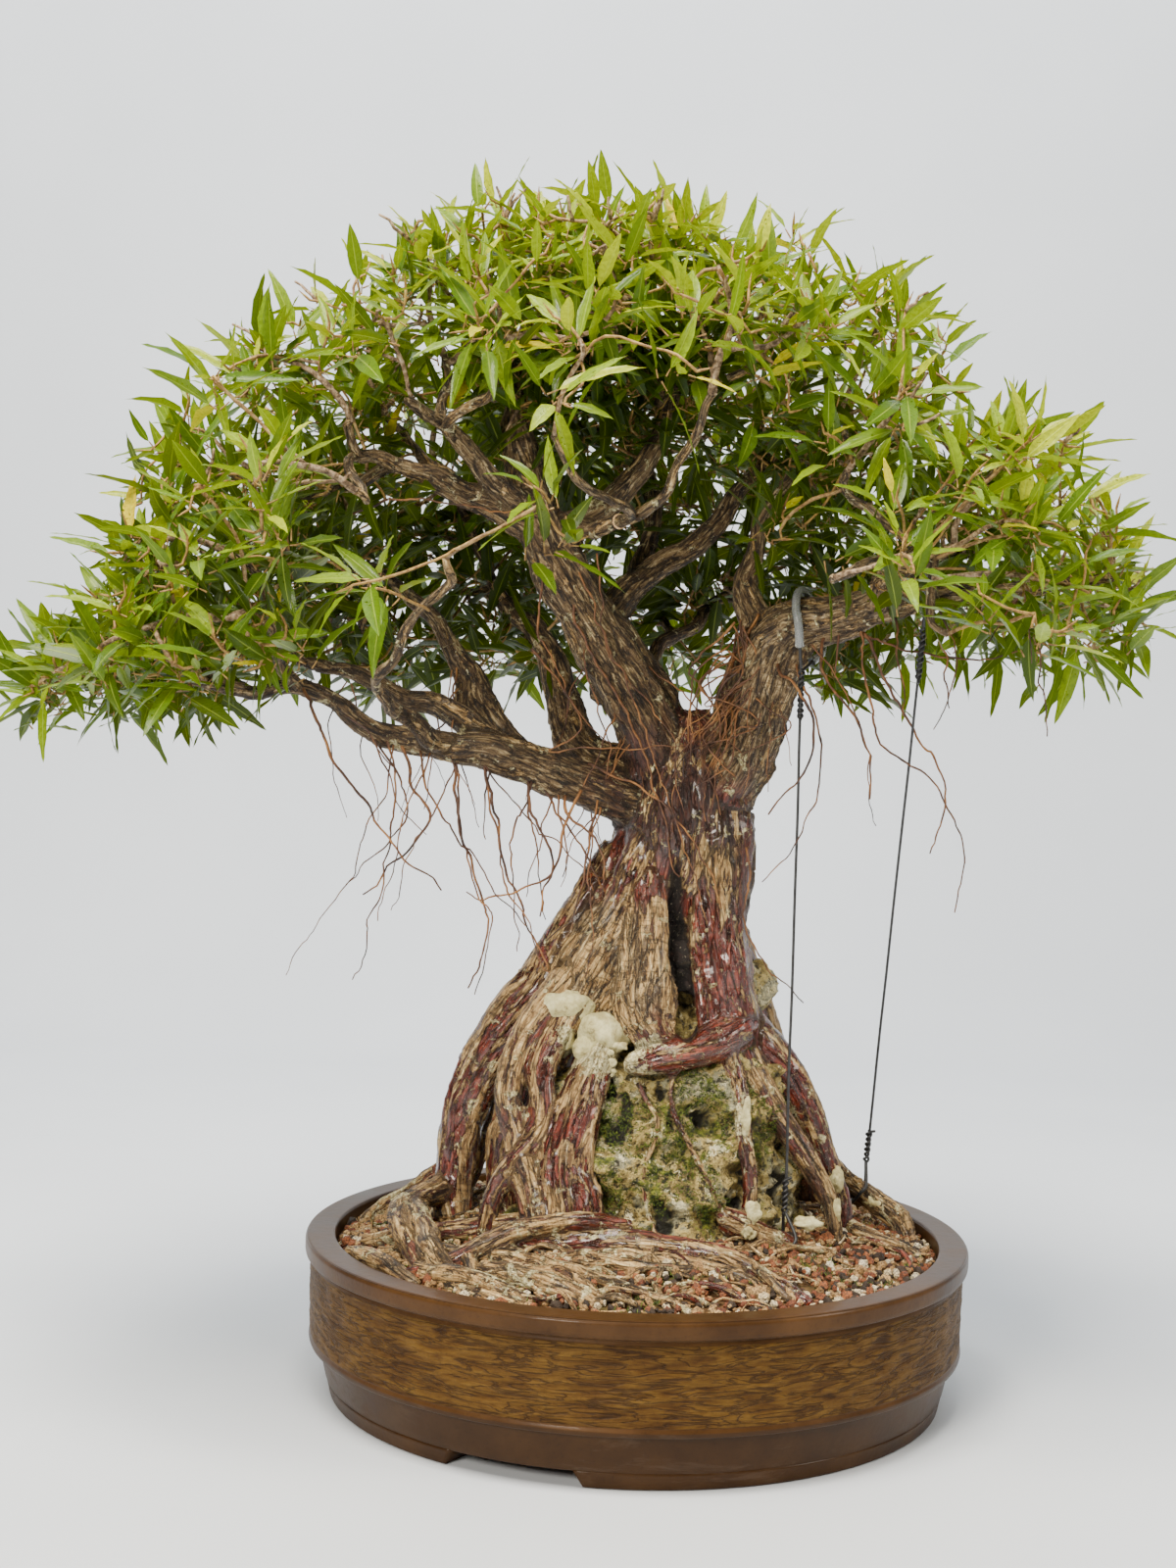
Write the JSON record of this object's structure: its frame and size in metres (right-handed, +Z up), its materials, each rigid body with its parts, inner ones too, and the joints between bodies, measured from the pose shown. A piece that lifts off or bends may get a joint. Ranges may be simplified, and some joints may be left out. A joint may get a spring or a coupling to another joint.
{
  "type": "potted bonsai tree",
  "caption": "Willow leaf ficus bonsai with a wide leafy crown, hanging aerial roots and roots clasping a mossy rock, in a round glazed pot; guy wires hold its limbs.",
  "frame": {"origin": "under the middle of the whole object's box, on the surface that the pot's feet stand on", "axes": "+Z up, -Y towards the viewer of the tree's front, +X to the viewer's right"},
  "size_m": [0.7176, 0.5452, 0.7378],
  "materials": {
    "glazed_pot": "satin dark purplish brown glaze with an olive brown band",
    "screen_plastic": "matte black mesh",
    "soil": "rough grit of lava, pumice and bark",
    "rock": "rough limestone with moss",
    "bark": "fibrous grey brown bark, glossy red brown on the roots",
    "putty": "dry matte wound putty",
    "wire": "black coated wire",
    "clear_sleeve": "clear soft plastic tube",
    "leaf": "waxy glossy leaf"
  },
  "bodies": {
    "root": {"pot": "glazed_pot", "drain_screen_left": "screen_plastic", "drain_screen_right": "screen_plastic", "soil": "soil", "rock": "rock", "wood": "bark", "putty_upper": "putty", "putty_lower": "putty", "guy_wire_left": "wire", "guy_wire_right": "wire", "sleeve_left": "clear_sleeve", "sleeve_right": "clear_sleeve", "spray_01": "leaf", "spray_02": "leaf", "spray_03": "leaf", "spray_04": "leaf", "spray_05": "leaf", "spray_06": "leaf", "spray_07": "leaf", "spray_08": "leaf", "spray_09": "leaf", "spray_10": "leaf", "spray_11": "leaf", "spray_12": "leaf", "spray_13": "leaf", "spray_14": "leaf", "spray_15": "leaf", "spray_16": "leaf", "spray_17": "leaf", "spray_18": "leaf", "spray_19": "leaf", "spray_20": "leaf", "spray_21": "leaf", "spray_22": "leaf", "spray_23": "leaf", "spray_24": "leaf", "spray_25": "leaf", "spray_26": "leaf", "spray_27": "leaf", "spray_28": "leaf", "spray_29": "leaf", "spray_30": "leaf", "spray_31": "leaf", "spray_32": "leaf", "spray_33": "leaf", "spray_34": "leaf", "spray_35": "leaf", "spray_36": "leaf", "spray_37": "leaf", "spray_38": "leaf"}
  },
  "joints": []
}
